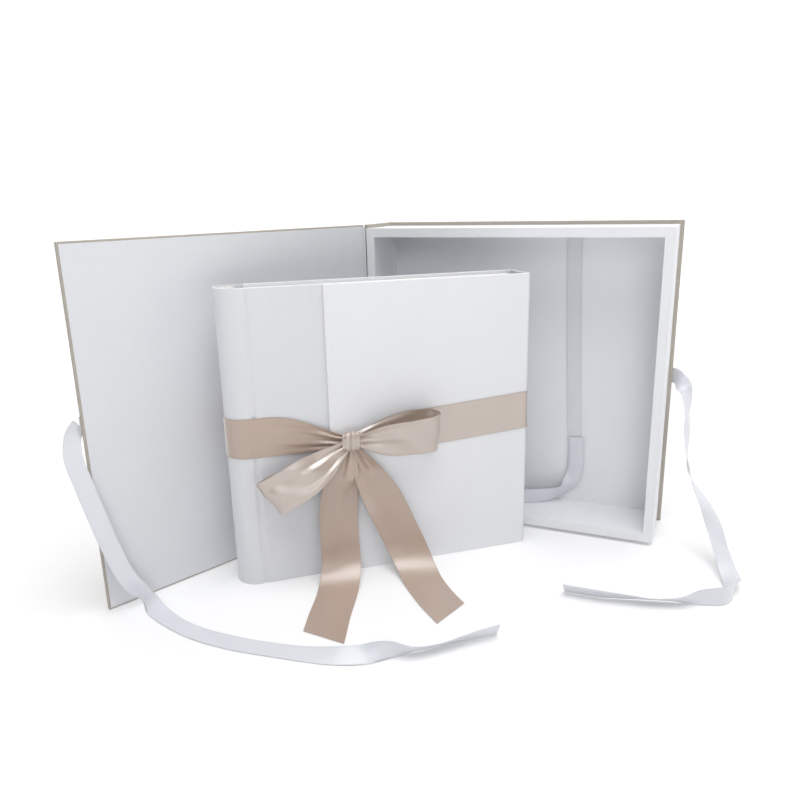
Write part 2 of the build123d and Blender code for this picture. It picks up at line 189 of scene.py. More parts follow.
# %% [markdown]
# ## Book cloth
# Book cloth is a plain weave, filled so that glue doesn't come through. Threads run up and across,
# about two in a millimetre, and here and there one is thicker. An image of cloth would repeat and
# would need a map on every board. Instead a sine along each axis gives the threads, and noise
# drawn out along each thread gives the thick places and the uneven dye. It needs no map at all.


# %% Book cloth
def book_cloth(name, pale, deep, turn, pitch=0.55, depth=0.00006, roughness=0.86):
    """Cloth whose threads stand upright and run along a wall turned by so many degrees."""
    cloth = Finish(name, Roughness=roughness, Sheen_Weight=0.12, Sheen_Roughness=0.5)
    cloth.shader.inputs["Specular IOR Level"].default_value = 0.25
    flat = cloth.squared_up(turn)
    turns = 2 * math.pi / (pitch / MM)
    wander = cloth.noise(flat, 30.0) * 2.5
    wefts, warps, courses = ((axis * turns + wander).wave() for axis in cloth.axes(flat))
    fine, drawn_out = 1300, 60  # noise cells in a metre, across a thread and along it
    upright = cloth.noise(flat, 1.0, 2.0, (fine, fine, drawn_out))
    lying = cloth.noise(flat, 1.0, 2.0, (drawn_out, drawn_out, fine))
    slubs = upright + lying
    patches = cloth.noise(flat, 14.0, 3.0)
    cloth.feed("Base Color", cloth.blend(slubs * 0.5 + patches * 0.5 - 0.2, deep, pale))
    cloth.feed("Roughness", roughness - 0.08 + slubs * 0.08)
    cloth.relief((wefts + warps + courses) * 0.2 + slubs * 1.1, depth * 3.0, 0.22)
    return cloth.material


BOOK_DEGREES, LID_DEGREES, CASE_DEGREES = 40.0, 113.0, 0.0  # how far each is turned on the table
# One white book cloth is made in copies of different brightness, set part by part to the light in
# the scene: the book's copy is painted shade, and the lighter copies on the flap and the case are
# painted light. The lining is the same: the lid's darker copy is painted shade and the tray's
# lighter copy is painted light.
WHITE, WHITE_DEEP = (0.745, 0.75, 0.775), (0.68, 0.685, 0.71)
FLAP_WHITE_LIT, FLAP_DEEP_LIT = (0.825, 0.83, 0.85), (0.77, 0.775, 0.795)
CASE_WHITE_LIT, CASE_DEEP_LIT = (0.86, 0.865, 0.885), (0.80, 0.805, 0.825)
LINING, LINING_DEEP = (0.735, 0.745, 0.77), (0.68, 0.69, 0.715)
TRAY, TRAY_DEEP = (0.885, 0.895, 0.925), (0.83, 0.84, 0.87)
white_on_book_shaded = book_cloth("white_cloth_on_book_painted_shade", WHITE, WHITE_DEEP, BOOK_DEGREES)
white_on_flap_lit = book_cloth("white_cloth_on_flap_painted_light", FLAP_WHITE_LIT, FLAP_DEEP_LIT, BOOK_DEGREES)
white_on_case_lit = book_cloth("white_cloth_on_case_painted_light", CASE_WHITE_LIT, CASE_DEEP_LIT, CASE_DEGREES)
lining_on_case_lit = book_cloth("lining_cloth_on_case_painted_light", TRAY, TRAY_DEEP, CASE_DEGREES)
lining_on_lid_shaded = book_cloth("lining_cloth_on_lid_painted_shade", LINING, LINING_DEEP, -LID_DEGREES)
print("white cloths", white_on_book_shaded.name, white_on_flap_lit.name, white_on_case_lit.name)

# %% [markdown]
# ## Linen
# The case is covered in a natural taupe linen, which is coarser than the white cloth and has
# deeper threads. The same recipe serves with a wider pitch, so both cloths look like one maker's.

# %% Linen
LINEN, LINEN_DEEP = (0.50, 0.46, 0.405), (0.36, 0.325, 0.28)
COARSE = {"pitch": 0.8, "depth": 0.0001, "roughness": 0.9}
linen_on_case = book_cloth("linen_on_case", LINEN, LINEN_DEEP, CASE_DEGREES, **COARSE)
linen_on_lid = book_cloth("linen_on_lid", LINEN, LINEN_DEEP, -LID_DEGREES, **COARSE)
print("linens", linen_on_case.name, linen_on_lid.name)

# %% [markdown]
# ## Paper
# The leaves are heavy album paper. Every leaf could be its own sheet, but a hundred of them are
# slow and only their cut edges show. The block is one solid, and its finish has fine lines that
# follow each leaf. The linings are plain paper with a faint tooth.


# %% Paper
def paper(name, pale, deep, leaves):
    """Paper with a faint tooth, and with the lines of cut leaves if leaves."""
    sheet = Finish(name, Roughness=0.9)
    sheet.shader.inputs["Specular IOR Level"].default_value = 0.2
    flat = sheet.squared_up(BOOK_DEGREES)
    tooth = sheet.noise(flat, 900.0, 3.0)
    lines = sheet.noise(flat, 1.0, 1.0, (12, 2600, 12)) if leaves else tooth
    sheet.feed("Base Color", sheet.blend(lines * 0.8 + tooth * 0.2, deep, pale))
    sheet.feed("Roughness", 0.85 + tooth * 0.1)
    sheet.relief(lines + tooth * 0.3, 0.00012 if leaves else 0.00004, 0.6)
    return sheet.material


leaf_edges = paper("leaf_edges", (0.92, 0.915, 0.90), (0.76, 0.755, 0.74), True)
lining_paper = paper("lining_paper", (0.88, 0.88, 0.88), (0.80, 0.80, 0.80), False)
print("papers", leaf_edges.name, lining_paper.name)

# %% [markdown]
# ## Satin
# Satin floats its warp threads over the weft, so it has a soft shine and fine lines that run along
# the ribbon. A mirror-like coat over a dull cloth would look like plastic. A high index on a
# fairly rough surface gives the same broad shine without a film on top. Each ribbon carries its
# own map, across in U and along in V, both in metres, so the lines follow every curl.

# %% Satin
WIDE, NARROW = 38.0, 16.0  # the two ribbons' full widths, in millimetres
SELVEDGE = 0.0009  # the denser woven edge, in metres


def satin(name, pale, deep, wide, roughness, shine, sheen=0.3):
    """Satin for a ribbon so many millimetres wide. shine is the index of its bright face."""
    cloth = Finish(name, Roughness=roughness, Sheen_Weight=sheen, Sheen_Roughness=0.5, IOR=shine)
    cloth.shader.inputs["Specular IOR Level"].default_value = 1.0
    where = cloth.node("ShaderNodeTexCoord", out="UV")
    across = cloth.axes(where)[0]
    lines = cloth.noise(where, 1.0, 2.0, (5200, 90, 1))
    ribs = cloth.noise(where, 1.0, 2.0, (160, 2600, 1))
    cloudy = cloth.noise(where, 1.0, 2.0, (45, 30, 1))
    half = wide / MM / 2
    edge = (across - half).math("ABSOLUTE").math("GREATER_THAN", half - SELVEDGE)
    cloth.feed("Base Color", cloth.blend(lines * 0.4 + cloudy * 0.6 - edge * 0.35, deep, pale))
    cloth.feed("Roughness", roughness - 0.05 + lines * 0.1 + edge * 0.1)
    cloth.relief(lines * 0.5 + ribs * 0.35 + edge * 0.5, 0.00005, 0.4)
    return cloth.material


# One satin is made in two copies, set to how the light falls on each part. The glossier
# champagne_satin is painted light on the right band, the loops and the knot. The duller copy, with
# a lower index and more sheen, is painted shade on the band round the spine, the left band and the
# tails.
CHAMPAGNE, CHAMPAGNE_DEEP = (0.42, 0.295, 0.21), (0.31, 0.21, 0.145)
SHADED_CHAMPAGNE, SHADED_CHAMPAGNE_DEEP = (0.43, 0.29, 0.205), (0.34, 0.225, 0.155)
TIE_WHITE, TIE_DEEP = (0.76, 0.775, 0.82), (0.64, 0.655, 0.70)
champagne = satin("champagne_satin", CHAMPAGNE, CHAMPAGNE_DEEP, WIDE, 0.43, 2.45)
champagne_shaded_copy = satin("champagne_satin_painted_shade", SHADED_CHAMPAGNE, SHADED_CHAMPAGNE_DEEP, WIDE, 0.4, 1.85, 0.9)
white_tie = satin("white_tie_satin", TIE_WHITE, TIE_DEEP, NARROW, 0.4, 1.6)
print("satins", champagne.name, champagne_shaded_copy.name, white_tie.name)

# %% [markdown]
# ## Small bookbinder's materials
# Headbands are wound with two shades of silk, and the back of the sewn gatherings is lined with an
# open cloth. Both hide inside the spine, but they show from above. Wound threads could be coiled
# round a core, but at this size a sine with a little relief reads the same.


# %% Headband silk and spine lining
def wound_silk(name, pale, deep):
    """Silk wound tightly in two shades."""
    silk = Finish(name, Roughness=0.55)
    threads = (silk.axes(silk.squared_up(BOOK_DEGREES))[1] * 5200).wave() * 0.5 + 0.5
    silk.feed("Base Color", silk.blend(threads, deep, pale))
    silk.relief(threads, 0.0002, 0.8)
    return silk.material


headband_silk = wound_silk("headband_silk", (0.88, 0.875, 0.86), (0.74, 0.73, 0.71))
mull = book_cloth("open_weave_lining", (0.84, 0.83, 0.80), (0.70, 0.69, 0.66), BOOK_DEGREES,
                  pitch=1.1, depth=0.0002, roughness=0.95)
print("bookbinder's materials", headband_silk.name, mull.name)

# %% [markdown]
# ## Giving the boards their cloth
# The boards have their right shape in the frame, so they are not modelled again and only need a
# finish. Most get it from their material, and a few stand in a place of their own. These finishes
# carry painted light and shade: the book and the lid's lining have darker copies of their cloth as
# painted shade, and the flap, the case and the tray's lining have lighter copies as painted light.

# %% Finishes on the frame's own nodes
FINISHES = {
    "white_cloth_board": white_on_book_shaded, "white_cloth": white_on_book_shaded, "lining_paper": lining_paper,
    "paper_leaves": leaf_edges, "spine_lining_cloth": mull, "headband_silk": headband_silk,
    "white_ribbon": white_tie, "champagne_satin": champagne, "taupe_cloth_board": linen_on_case,
    "taupe_cloth": linen_on_case, "white_lining_cloth": lining_on_lid_shaded,
}
BY_NAME = {
    "lid_board": linen_on_lid, "flap_board": white_on_flap_lit,
    "tray_base_lining": lining_on_case_lit, "tray_base_board": white_on_case_lit,
    "tray_wall_left": white_on_case_lit, "tray_wall_right": white_on_case_lit,
    "tray_wall_top": white_on_case_lit, "tray_wall_bottom": white_on_case_lit,
}
for part in frame["record"]["subparts"]:
    finish = BY_NAME.get(part["node"], FINISHES[part["material_slot"]])
    node = nodes[part["node"]]
    if node.material_slots:
        node.material_slots[0].material = finish
    else:
        node.data.materials.append(finish)

# %% [markdown]
# ## Where the book and the lid stand
# Ribbons could be drawn flat and then turned with their piece. It is easier to read a place in the
# book's own frame: across from its front groove, out through the rear cover, and up. The lid has
# one too: along from its hinge, out behind it, and up. Both are in millimetres, as small folds are.

# %% Places on the book, on the lid and on the table
BOOK_TURN, BOOK_PLACE = math.radians(BOOK_DEGREES), (-0.1802, -0.2792)
LID_TURN, HINGE = math.radians(LID_DEGREES), (-0.160, -0.07065)


def on_book(u, y, z):
    cos, sin = math.cos(BOOK_TURN), math.sin(BOOK_TURN)
    x = BOOK_PLACE[0] + (u * cos - y * sin) / MM
    return Vector((x, BOOK_PLACE[1] + (u * sin + y * cos) / MM, z / MM))


def on_lid(along, behind, z):
    cos, sin = math.cos(LID_TURN), math.sin(LID_TURN)
    x = HINGE[0] + (along * cos - behind * sin) / MM
    return Vector((x, HINGE[1] - (along * sin + behind * cos) / MM, z / MM))


def on_table(x, y, z):
    return Vector((x, y, z)) / MM


def turned(place, vector):
    """A direction in a place's own frame, as a direction in the world."""
    return (place(*vector) - place(0, 0, 0)).normalized()


print("book's groove at", [round(v, 3) for v in on_book(0, 0, 0)])

# %% [markdown]
# ## Making a ribbon
# A ribbon bends easily but hardly stretches. A curve with a flat bevel would twist where it likes
# and can't gather. So a ribbon is described here by a few stations: a place, which way its width
# lies, and how wide it is gathered there. A smooth curve runs through the stations, and pleats are
# waves across the ribbon that die out away from the knot. The result is a closed sheet with the
# ribbon's real thickness.


# %% A curve through stations
def through(values, knots, at):
    """Values carried smoothly through the knots, with no kink and no jump."""
    values = np.asarray(values, float).reshape(len(knots), -1)
    slopes = np.gradient(values, knots, axis=0, edge_order=1)
    place = np.clip(np.searchsorted(knots, at, side="right") - 1, 0, len(knots) - 2)
    span = (knots[place + 1] - knots[place])[..., None]
    t = ((at - knots[place])[..., None]) / span
    a, b = values[place], values[place + 1]
    p, q = slopes[place] * span, slopes[place + 1] * span
    leaving = (2 * t**3 - 3 * t**2 + 1) * a + (t**3 - 2 * t**2 + t) * p
    return leaving + (3 * t**2 - 2 * t**3) * b + (t**3 - t**2) * q


def unit(v):
    return v / np.maximum(np.linalg.norm(v, axis=-1, keepdims=True), 1e-12)


# %% A ribbon's surface
RIM = 0.0015  # the share of a narrow cell at each edge, which keeps the shading off the rims
CLEAR = 0.0004  # no ribbon sinks below this height, in metres


def side_at_stations(stations, run):
    """Which way the width lies at each station, square to the run and never flipped."""
    sides, before = [], None
    for along, station in zip(run, stations):
        side = np.array(station[1], float)
        side = unit(side - unit(along) * side.dot(unit(along)))
        face = np.cross(unit(along), side)
        if before is not None and before.dot(face) < 0:
            side, face = -side, -face
        before = face
        sides.append(side)
    return sides


def ribbon_surface(stations, step=2.5, columns=16, lift=None, slant=0.0, span=(0.0, 1.0)):
    """Rows of points along a ribbon. lift(along, across) raises its face, in millimetres."""
    points = np.array([s[0] for s in stations], float)
    knots = np.r_[0, np.cumsum(np.linalg.norm(np.diff(points, axis=0), axis=1))]
    sides = side_at_stations(stations, np.gradient(points, knots, axis=0))
    across = np.r_[-0.5, np.linspace(RIM - 0.5, 0.5 - RIM, columns - 2), 0.5]
    rows = max(6, int(knots[-1] * (span[1] - span[0]) * MM / step))
    evenly = np.r_[0, np.linspace(RIM, 1 - RIM, rows - 2), 1][:, None]
    share = span[0] + (span[1] - span[0]) * evenly
    length = knots[-1] + slant / MM * across[None, :]
    at = np.clip(share * length, 0, None)
    inside = np.minimum(at, knots[-1])
    centre = through(points, knots, inside)
    tiny = 1e-4
    ahead = unit(through(points, knots, np.minimum(inside + tiny, knots[-1]))
                 - through(points, knots, np.maximum(inside - tiny, 0)))
    centre = centre + ahead * (at - inside)[..., None]
    side = through(sides, knots, inside)
    side = unit(side - ahead * (side * ahead).sum(-1, keepdims=True))
    width = through([s[2] / MM for s in stations], knots, inside)[..., 0]
    grid = centre + side * (width * across[None, :])[..., None]
    if lift:
        raised = lift(at / knots[-1], np.broadcast_to(across[None, :], at.shape)) / MM
        grid = grid + np.cross(ahead, side) * raised[..., None]
    grid[..., 2] = np.maximum(grid[..., 2], CLEAR)
    return grid, knots[-1]


# %% The faces of a closed sheet
def sheet_faces(rows, columns, loop):
    """Faces of the front and the back, and the rims that join them."""
    other = rows * columns
    faces, rims = [], []
    for i in range(rows if loop else rows - 1):
        j = (i + 1) % rows
        for k in range(columns - 1):
            a, b = i * columns + k, i * columns + k + 1
            c, d = j * columns + k + 1, j * columns + k
            faces.append((a, b, c, d))
            faces.append((other + d, other + c, other + b, other + a))
        a, b = i * columns, j * columns
        rims.append((a, b, other + b, other + a))
        a, b = a + columns - 1, b + columns - 1
        rims.append((b, a, other + a, other + b))
    if not loop:
        for a in range(columns - 1):
            rims.append((a + 1, a, other + a, other + a + 1))
            c = (rows - 1) * columns + a
            rims.append((c, c + 1, other + c + 1, other + c))
    return faces, rims


# %% A closed sheet from rows of points
def sheet_piece(name, grid, thickness, finish, real_width, length, loop=False):
    """A thin closed sheet with its own map in metres. loop joins the last row to the first."""
    rows, columns = grid.shape[:2]
    if loop:
        down = np.gradient(np.concatenate([grid[-2:-1], grid, grid[1:2]]), axis=0)[1:-1]
    else:
        down = np.gradient(grid, axis=0)
    normal = unit(np.cross(down, np.gradient(grid, axis=1)))
    front, back = grid + normal * thickness / 2, grid - normal * thickness / 2
    points = np.concatenate([front.reshape(-1, 3), back.reshape(-1, 3)])
    faces, rims = sheet_faces(rows, columns, loop)
    mesh = bpy.data.meshes.new(name)
    mesh.from_pydata([tuple(p) for p in points], [], faces + rims)
    mesh.polygons.foreach_set("use_smooth", [True] * len(faces) + [False] * len(rims))
    chart = mesh.uv_layers.new(name="cloth")
    corners = np.array([corner.vertex_index for corner in mesh.loops]) % (rows * columns)
    steps = np.linalg.norm(np.diff(grid[rows // 2], axis=0), axis=-1)
    u = (np.r_[0, np.cumsum(steps)] / steps.sum() * real_width)[corners % columns]
    v = (corners // columns) / (rows - 1) * length
    chart.data.foreach_set("uv", np.column_stack([u, v]).ravel())
    mesh.materials.append(finish)
    made = bpy.data.objects.new(name, mesh)
    bpy.context.scene.collection.objects.link(made)
    return made


# %% Laying a ribbon in its place
RIBBON_THICK, CLOTH_THICK = 0.4, 0.22  # millimetres


def lay(name, place, route, finish, slot, thickness=RIBBON_THICK, **shape):
    """One ribbon from a route in a place's own millimetres."""
    stations = [(place(*point), turned(place, across), width) for point, across, width in route]
    grid, length = ribbon_surface(stations, **shape)
    span = shape.get("span", (0.0, 1.0))
    real_width = max(s[2] for s in route) / MM
    length = length * (span[1] - span[0])
    made = sheet_piece(name, grid, thickness / MM, finish, real_width, length)
    made["flat"] = [real_width, length]
    print(name, "flat", [round(v, 3) for v in made["flat"]])
    return made


def ripple(count, across, phase=0.0):
    """So many waves across a ribbon."""
    return np.sin(2 * np.pi * count * across + phase)


# %% [markdown]
# ## The satin band round the book
# One ribbon goes round the spine, across the rear cover and round the fore edge. In front it splits
# where the flap opens. It could be wrapped on the boards by a modifier, but a taut ribbon stands a
# hair off the cloth and rounds each corner, so its route is written down from the boards' sizes.

# %% The band round the back
BAND = 129.5 + 19.0  # the height of its middle
OFF = 0.55  # how far it stands off the cloth
SPINE_U, SPINE_R = -5.5, 19.0  # where the round spine has its middle, and its radius
REAR, FORE_EDGE = 38.0 + OFF, 274.3 + OFF
around = [(-3.0, -OFF)]
for step in range(13):
    angle = math.radians(-90 - 15 * step)
    around.append((SPINE_U + (SPINE_R + OFF) * math.cos(angle),
                   SPINE_R + (SPINE_R + OFF) * math.sin(angle)))
around += [(-2.0, REAR), (8.0, REAR), (100.0, REAR), (200.0, REAR), (268.0, REAR), (273.8, 38.45),
           (FORE_EDGE, 37.4), (FORE_EDGE, 31.0), (FORE_EDGE, 10.0), (FORE_EDGE, 1.7)]
round_route = [((u, y, BAND), UPRIGHT, WIDE) for u, y in around]
band_round = lay("satin_band", on_book, round_route, champagne_shaded_copy, "champagne_satin", columns=8)
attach(band_round, "book")
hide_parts("band_rear", "band_fore_edge", "band_spine")

# %% [markdown]
# ## The band to the left of the bow
# In front the band runs level from the groove and is drawn down into the knot, where it gathers
# into pleats. One sheet would tear when the flap opens, so it is cut at the flap's free edge. Both
# parts come from one route and one set of pleats, and so they still meet when the book is shut.

# %% The band to the left of the bow
left_plan = [(-3.0, -OFF, BAND, WIDE), (4.0, -OFF, BAND, WIDE), (12.0, -OFF, BAND, WIDE),
             (26.0, -0.9, BAND - 1.0, 36.5), (44.0, -1.6, BAND - 4.0, 30.5),
             (58.0, -2.6, BAND - 6.5, 23.5), (69.9, -4.6, BAND - 8.6, 17.5),
             (79.0, -6.4, 138.6, 13.5), (86.0, -8.0, 138.0, 11.0)]
left_route = [((u, y, z), UPRIGHT, width) for u, y, z, width in left_plan]
CUT = 73.0 / 89.6  # the share of the route that lies on the front panel
GAP = 0.001  # a hair between the two sheets, as a share of the route


def drawn_in(along, across):
    """Pleats that grow towards the knot."""
    grow = np.clip((along - 0.12) / 0.88, 0, 1) ** 1.3
    folds = np.sin(2 * np.pi * (2.7 * across + 0.18)) * 1.2
    return -grow * (folds + np.sin(2 * np.pi * (4.6 * across + 0.6)) * 0.5)


band_left = lay("satin_band_left", on_book, left_route, champagne_shaded_copy, "champagne_satin",
                columns=44, lift=drawn_in, span=(0.0, CUT))
on_book(-2.5, -OFF, 0)
on_book(3.5, -OFF, 0)
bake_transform(band_left)
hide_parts("band_front_left", "band_groove")
band_gather = lay("satin_band_gather", on_book, left_route, champagne_shaded_copy, "champagne_satin",
                  columns=44, lift=drawn_in, span=(CUT + GAP, 1.0))
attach(band_gather, "flap")
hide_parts("band_gather_left")

# %% [markdown]
# ## The band to the right of the bow
# Out of the knot the band widens at once, lies flat on the flap and turns the corner to the fore
# edge. The flap's hinge is at that corner.

# %% The band to the right of the bow
FLAP = -3.0 - OFF
right_plan = [(91.0, -8.0, 138.0, 11.0), (98.0, -6.2, 138.4, 15.0), (112.0, -4.6, 139.2, 24.0),
              (130.0, -3.9, 140.0, 33.0), (150.0, FLAP - 0.1, 140.9, WIDE),
              (180.0, FLAP, 142.6, WIDE), (225.0, FLAP, 145.4, WIDE), (262.0, FLAP, 147.7, WIDE),
              (272.0, FLAP, BAND - 0.2, WIDE), (274.4, FLAP + 0.5, BAND, WIDE),
              (FORE_EDGE, -2.0, BAND, WIDE), (FORE_EDGE, 1.55, BAND, WIDE)]
right_route = [((u, y, z), UPRIGHT, width) for u, y, z, width in right_plan]


def let_out(along, across):
    """Pleats that die out as soon as the band has left the knot."""
    return np.exp(-along / 0.10) * ripple(3.2, across, 0.4 + 2.0 * along)


band_right = lay("satin_band_right", on_book, right_route, champagne, "champagne_satin",
                 columns=36, lift=let_out)
on_book(275.0, 1.7, 0)
on_book(270.0, -3.5, 0)
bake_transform(band_right)
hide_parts("band_front_right")

# %% [markdown]
# ## The bow's loops
# A bow is one ribbon, but it reads as five: two loops, two tails, and the turn that wraps them.
# Each loop goes out from the knot and comes back behind itself, wide at its end and gathered at
# the knot. A cloth simulation loses folds this small in its mesh, so the loops are modelled
# directly, with a fan of folds at the knot and a few soft dents further out.

# %% The routes of the two loops
KNOT = (88.5, -10.5, 138.0)
kx, ky, kz = KNOT
LEAN = (0, -0.2, 1)
loop_right_route = [
    ((kx + 3.0, ky - 1.5, kz + 0.5), UPRIGHT, 9.0), ((kx + 9.0, ky - 4.5, kz + 1.0), UPRIGHT, 14.0),
    ((110.0, ky - 10.0, kz + 1.2), (0, -0.1, 1), 25.0), ((126.0, ky - 15.5, kz + 2.0), LEAN, 34.5),
    ((146.0, ky - 17.0, kz + 2.6), LEAN, 37.0), ((163.0, ky - 15.0, kz + 2.8), LEAN, 37.5),
    ((172.6, ky - 9.0, kz + 2.4), LEAN, WIDE), ((174.6, ky - 2.5, kz + 2.6), (0, -0.1, 1), WIDE),
    ((168.0, ky + 2.2, kz + 4.2), UPRIGHT, WIDE), ((150.0, ky + 3.4, kz + 6.0), UPRIGHT, 36.0),
    ((126.0, ky + 3.0, kz + 6.0), UPRIGHT, 27.0), ((105.0, ky + 2.0, kz + 4.0), UPRIGHT, 16.0),
    ((kx + 3.0, ky + 1.0, kz + 2.0), UPRIGHT, 9.0)]
SLOPE, BACK_SLOPE = (0.57, -0.3, -0.80), (0.57, -0.1, -0.81)
loop_left_route = [
    ((kx - 2.5, ky - 1.5, kz - 1.0), (0.2, 0, -1), 8.0),
    ((76.0, ky - 5.0, kz - 6.5), (0.45, -0.1, -0.9), 16.0),
    ((62.0, ky - 9.5, kz - 14.0), SLOPE, 26.0), ((42.0, ky - 13.0, kz - 25.0), SLOPE, 35.0),
    ((24.0, ky - 11.5, kz - 35.0), SLOPE, 36.0), ((11.5, ky - 7.5, kz - 42.0), SLOPE, 36.0),
    ((7.2, ky - 2.5, kz - 45.5), BACK_SLOPE, 36.0), ((12.0, ky + 1.8, kz - 44.0), BACK_SLOPE, 35.0),
    ((30.0, ky + 3.2, kz - 35.5), BACK_SLOPE, 31.0),
    ((54.0, ky + 3.4, kz - 21.5), BACK_SLOPE, 22.0),
    ((73.0, ky + 3.0, kz - 9.0), (0.4, 0, -0.9), 13.0),
    ((kx - 2.5, ky + 1.5, kz - 2.0), (0.2, 0, -1), 8.0)]
print("loops' stations", len(loop_right_route), len(loop_left_route))


# %% The two loops
def loop_folds(phase):
    """Long soft folds that fan out from the knot on both layers."""
    def lift(along, across):
        near = np.exp(-along / 0.16) + np.exp(-(1 - along) / 0.16)
        fan = ripple(2.4, across, phase) * 1.6 + ripple(4.3, across, 2 * phase) * 0.7
        dents = 1.3 * np.sin(2 * np.pi * (along * 4.2 + across * 0.9) + phase)
        dents = dents * np.cos(np.pi * (across + 0.15))
        return near * fan + (1 - np.clip(near, 0, 1)) * dents
    return lift


for name, node, route, phase in (("bow_right_loop", "bow_loop_right", loop_right_route, 0.5),
                                 ("bow_left_loop", "bow_loop_left", loop_left_route, 1.9)):
    made = lay(name, on_book, route, champagne, "champagne_satin", columns=40,
               lift=loop_folds(phase))
    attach(made, "flap")
    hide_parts(node)

# %% [markdown]
# ## The knot
# The last turn of ribbon wraps the middle from top to bottom. It is squeezed to half its width, so
# it has deep upright pleats and narrows where it goes over the top and under the foot. A ball with
# bumps would look moulded. A ring of rows round a soft box, pleated across, is a turn of cloth.

# %% The knot
KNOT_WIDE, KNOT_HIGH, KNOT_DEEP = 17.5, 9.3, 5.4  # its width, half its height, half its depth


def shouldered(wave):
    """A wave with fuller shoulders, which makes a soft box of a circle."""
    return np.sign(wave) * np.abs(wave) ** 0.8


theta = np.linspace(0, 2 * np.pi, 48, endpoint=False)[:, None]
cross = np.linspace(-0.5, 0.5, 36)[None, :]
outer = (2 * cross) ** 2  # 0 in the middle of the turn and 1 at its edges
fold = 0.75 * ripple(3.6, cross, 0.7) + 0.35 * ripple(6.3, cross, 1.9)
depth = (KNOT_DEEP + fold) * (1 - 0.35 * outer)
height = (KNOT_HIGH + 0.6 * fold) * (1 - 0.22 * outer)
knot_x = kx + KNOT_WIDE * cross * (1 + 0.16 * np.cos(theta)) + 0.5 * np.sin(theta)
knot_y = ky - 0.6 - shouldered(np.cos(theta)) * depth
knot_z = kz + 0.8 + shouldered(np.sin(theta)) * height
turn = np.array([[on_book(x, y, z) for x, y, z in zip(*row)]
                 for row in zip(knot_x, knot_y, knot_z)])
knot = sheet_piece("satin_knot", turn, RIBBON_THICK / MM, champagne, WIDE / MM, 0.048, loop=True)
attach(knot, "flap")
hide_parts("bow_knot")
print("knot rows", len(theta), "columns", cross.size)

# %% [markdown]
# ## The tails
# The tails leave the foot of the knot, fall down the flap, and turn out over the table. Each is cut
# on a slant so that it doesn't fray. They are routes as well, and their last stations lie just over
# the table, because a tail that floats is seen at once by its shadow.

# %% The routes of the two tails
LEVEL = (1, 0, 0)
tail_left_route = [
    ((86.5, ky - 1.0, 131.0), LEVEL, 8.0), ((84.5, ky - 2.0, 123.0), LEVEL, 16.0),
    ((80.0, ky - 2.5, 109.0), (1, 0, 0.05), 29.0), ((75.5, ky - 0.5, 88.0), (1, 0, 0.05), 36.0),
    ((73.2, ky + 1.6, 62.0), LEVEL, WIDE), ((72.8, ky + 0.2, 45.0), LEVEL, WIDE),
    ((72.4, -14.0, 30.0), LEVEL, WIDE), ((71.4, -20.0, 18.0), (1, -0.08, 0), WIDE),
    ((68.4, -28.0, 9.5), (1, -0.2, 0), WIDE), ((64.0, -38.5, 4.0), (0.95, -0.3, 0), WIDE),
    ((58.7, -51.0, 1.5), (0.93, -0.36, 0), WIDE), ((53.8, -62.0, 0.9), (0.93, -0.37, 0), WIDE),
    ((49.0, -73.0, 0.8), (0.93, -0.37, 0), WIDE), ((35.5, -108.0, 0.8), (0.94, -0.34, 0), WIDE)]
tail_right_route = [
    ((90.5, ky + 1.2, 131.0), (0.9, 0, 0.4), 8.0), ((95.0, ky + 2.0, 120.0), (0.9, 0, 0.4), 18.0),
    ((104.0, ky + 1.5, 102.0), (0.92, 0, 0.4), 29.0),
    ((116.0, ky - 0.5, 78.0), (0.9, 0, 0.42), 37.0),
    ((127.5, ky - 0.8, 53.0), (0.92, 0, 0.38), WIDE),
    ((133.5, ky - 2.3, 38.0), (0.94, 0, 0.32), WIDE),
    ((138.4, -17.0, 26.0), (0.96, 0, 0.24), WIDE), ((141.8, -23.5, 16.0), (1, 0, 0.14), WIDE),
    ((143.8, -32.0, 8.5), (1, 0, 0.05), WIDE), ((144.7, -43.0, 3.6), LEVEL, WIDE),
    ((145.2, -56.0, 1.4), (1, 0.03, 0), WIDE), ((145.9, -68.0, 0.9), (1, 0.06, 0), WIDE),
    ((147.5, -87.0, 0.8), (0.97, 0.1, 0), WIDE), ((151.0, -109.0, 0.8), (0.96, 0.15, 0), WIDE)]
print("tails' stations", len(tail_left_route), len(tail_right_route))


# %% The two tails
def falling(phase, curl):
    """Gathered at the top, then one slow roll down the length, flat where it lies."""
    def lift(along, across):
        near = np.exp(-along / 0.10)
        fan = ripple(2.6, across, phase) * 1.5 + ripple(4.7, across) * 0.6
        hang = np.clip(1 - along / 0.55, 0, 1)
        roll = hang * 1.1 * np.sin(2 * np.pi * (across * 0.8 + along * 1.6) + phase)
        swell = 3.4 * np.exp(-((along - 0.13) / 0.045) ** 2 - ((across - 0.12) / 0.26) ** 2)
        curled = curl * np.clip(-across - 0.18, 0, 1) ** 1.3
        return near * fan + roll + swell + curled * np.exp(-((along - 0.19) / 0.13) ** 2)
    return lift


for name, node, route, phase, slant, curl in (
        ("bow_left_tail", "bow_tail_left", tail_left_route, 0.3, 17.0, 0.0),
        ("bow_right_tail", "bow_tail_right", tail_right_route, 2.2, -17.0, 34.0)):
    made = lay(name, on_book, route, champagne_shaded_copy, "champagne_satin", columns=30,
               lift=falling(phase, curl), slant=slant)
    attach(made, "flap")
    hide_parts(node)

# %% [markdown]
# ## The lid's tie
# Two narrow white ties close the case. They have lain folded, so they twist and stand on edge where
# they lie on the table. A rope of bones could bend a tie, but a still one needs only its route. The
# first stations hang from the lid and the others lie on the table, so each set has its own frame.


# %% A narrow tie
def cupped(along, across):
    """A shallow cup across the ribbon, which turns over now and then."""
    return (0.25 - across**2) * np.sin(2 * np.pi * (along * 2.3 + 0.1))


def tie_stations(place, route):
    return [(place(*point), turned(place, across), NARROW) for point, across in route]


